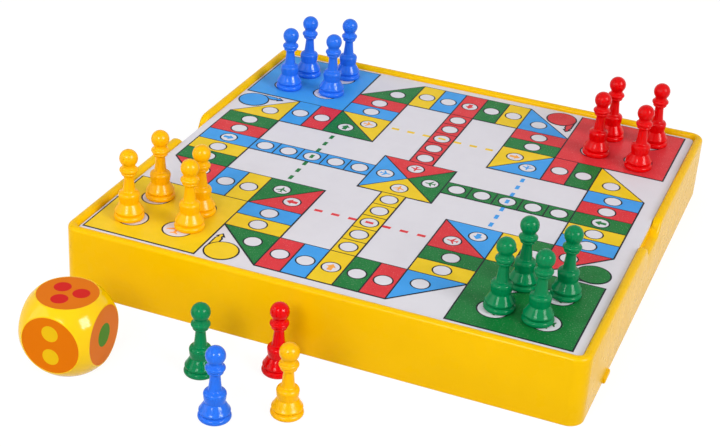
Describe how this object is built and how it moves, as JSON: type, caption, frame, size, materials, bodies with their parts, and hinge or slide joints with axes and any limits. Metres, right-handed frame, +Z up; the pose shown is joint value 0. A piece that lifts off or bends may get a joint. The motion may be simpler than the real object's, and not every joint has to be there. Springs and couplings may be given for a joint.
{
  "type": "ludo board box",
  "caption": "Square open tray of yellow plastic with a lift-out printed ludo board on its ledge, turned pawns in four colours and a large rounded die.",
  "frame": {"origin": "middle of the tray's flat underside, on the table", "axes": "+Z up, +Y from the side with the loose pawns and the die to the far side, +X to the side with the small wall lip"},
  "size_m": [0.2613, 0.3302, 0.07],
  "materials": {
    "tray_plastic": "moulded, softly glossy, solid yellow",
    "board_card": "smooth pale board, satin coated",
    "ink_black": "printed line, satin",
    "ink_white": "printed pale disc, satin",
    "ink_orange": "printed orange icon, satin",
    "ink_green": "printed green, satin, finely speckled",
    "ink_red": "printed red, satin, finely speckled",
    "ink_blue": "printed blue, satin, finely speckled",
    "ink_yellow": "printed yellow, satin, finely speckled",
    "pawn_green": "moulded glossy green",
    "pawn_red": "moulded glossy red",
    "pawn_blue": "moulded glossy blue",
    "pawn_yellow": "moulded glossy yellow",
    "die_yellow": "moulded glossy yellow",
    "die_orange": "satin orange face",
    "die_pip_red": "satin red pip",
    "die_pip_yellow": "satin yellow pip",
    "die_pip_green": "satin green pip"
  },
  "bodies": {
    "tray": {"tray": "tray_plastic"},
    "board": {"board_panel": "board_card", "print_lines": "ink_black", "print_white": "ink_white", "print_orange": "ink_orange", "print_green": "ink_green", "print_red": "ink_red", "print_blue": "ink_blue", "print_yellow": "ink_yellow"},
    "pawn_green_1": {"pawn_green_1": "pawn_green"},
    "pawn_green_2": {"pawn_green_2": "pawn_green"},
    "pawn_green_3": {"pawn_green_3": "pawn_green"},
    "pawn_green_4": {"pawn_green_4": "pawn_green"},
    "pawn_red_1": {"pawn_red_1": "pawn_red"},
    "pawn_red_2": {"pawn_red_2": "pawn_red"},
    "pawn_red_3": {"pawn_red_3": "pawn_red"},
    "pawn_red_4": {"pawn_red_4": "pawn_red"},
    "pawn_blue_1": {"pawn_blue_1": "pawn_blue"},
    "pawn_blue_2": {"pawn_blue_2": "pawn_blue"},
    "pawn_blue_3": {"pawn_blue_3": "pawn_blue"},
    "pawn_blue_4": {"pawn_blue_4": "pawn_blue"},
    "pawn_yellow_1": {"pawn_yellow_1": "pawn_yellow"},
    "pawn_yellow_2": {"pawn_yellow_2": "pawn_yellow"},
    "pawn_yellow_3": {"pawn_yellow_3": "pawn_yellow"},
    "pawn_yellow_4": {"pawn_yellow_4": "pawn_yellow"},
    "pawn_green_loose": {"pawn_green_loose": "pawn_green"},
    "pawn_red_loose": {"pawn_red_loose": "pawn_red"},
    "pawn_blue_loose": {"pawn_blue_loose": "pawn_blue"},
    "pawn_yellow_loose": {"pawn_yellow_loose": "pawn_yellow"},
    "die": {"die_body": "die_yellow", "die_discs": "die_orange", "die_pips_red": "die_pip_red", "die_pips_yellow": "die_pip_yellow", "die_pips_green": "die_pip_green"}
  },
  "joints": [
    {"name": "board_lift", "type": "slide", "parent": "tray", "child": "board", "axis": [0, 0, 1], "range_m": [0, 0.06]},
    {"name": "pawn_green_1_lift", "type": "slide", "parent": "board", "child": "pawn_green_1", "axis": [0, 0, 1], "range_m": [0, 0.05]},
    {"name": "pawn_green_2_lift", "type": "slide", "parent": "board", "child": "pawn_green_2", "axis": [0, 0, 1], "range_m": [0, 0.05]},
    {"name": "pawn_green_3_lift", "type": "slide", "parent": "board", "child": "pawn_green_3", "axis": [0, 0, 1], "range_m": [0, 0.05]},
    {"name": "pawn_green_4_lift", "type": "slide", "parent": "board", "child": "pawn_green_4", "axis": [0, 0, 1], "range_m": [0, 0.05]},
    {"name": "pawn_red_1_lift", "type": "slide", "parent": "board", "child": "pawn_red_1", "axis": [0, 0, 1], "range_m": [0, 0.05]},
    {"name": "pawn_red_2_lift", "type": "slide", "parent": "board", "child": "pawn_red_2", "axis": [0, 0, 1], "range_m": [0, 0.05]},
    {"name": "pawn_red_3_lift", "type": "slide", "parent": "board", "child": "pawn_red_3", "axis": [0, 0, 1], "range_m": [0, 0.05]},
    {"name": "pawn_red_4_lift", "type": "slide", "parent": "board", "child": "pawn_red_4", "axis": [0, 0, 1], "range_m": [0, 0.05]},
    {"name": "pawn_blue_1_lift", "type": "slide", "parent": "board", "child": "pawn_blue_1", "axis": [0, 0, 1], "range_m": [0, 0.05]},
    {"name": "pawn_blue_2_lift", "type": "slide", "parent": "board", "child": "pawn_blue_2", "axis": [0, 0, 1], "range_m": [0, 0.05]},
    {"name": "pawn_blue_3_lift", "type": "slide", "parent": "board", "child": "pawn_blue_3", "axis": [0, 0, 1], "range_m": [0, 0.05]},
    {"name": "pawn_blue_4_lift", "type": "slide", "parent": "board", "child": "pawn_blue_4", "axis": [0, 0, 1], "range_m": [0, 0.05]},
    {"name": "pawn_yellow_1_lift", "type": "slide", "parent": "board", "child": "pawn_yellow_1", "axis": [0, 0, 1], "range_m": [0, 0.05]},
    {"name": "pawn_yellow_2_lift", "type": "slide", "parent": "board", "child": "pawn_yellow_2", "axis": [0, 0, 1], "range_m": [0, 0.05]},
    {"name": "pawn_yellow_3_lift", "type": "slide", "parent": "board", "child": "pawn_yellow_3", "axis": [0, 0, 1], "range_m": [0, 0.05]},
    {"name": "pawn_yellow_4_lift", "type": "slide", "parent": "board", "child": "pawn_yellow_4", "axis": [0, 0, 1], "range_m": [0, 0.05]},
    {"name": "pawn_green_loose_lift", "type": "slide", "parent": "tray", "child": "pawn_green_loose", "axis": [0, 0, 1], "range_m": [0, 0.05]},
    {"name": "pawn_red_loose_lift", "type": "slide", "parent": "tray", "child": "pawn_red_loose", "axis": [0, 0, 1], "range_m": [0, 0.05]},
    {"name": "pawn_blue_loose_lift", "type": "slide", "parent": "tray", "child": "pawn_blue_loose", "axis": [0, 0, 1], "range_m": [0, 0.05]},
    {"name": "pawn_yellow_loose_lift", "type": "slide", "parent": "tray", "child": "pawn_yellow_loose", "axis": [0, 0, 1], "range_m": [0, 0.05]},
    {"name": "die_lift", "type": "slide", "parent": "tray", "child": "die", "axis": [0, 0, 1], "range_m": [0, 0.05]}
  ]
}
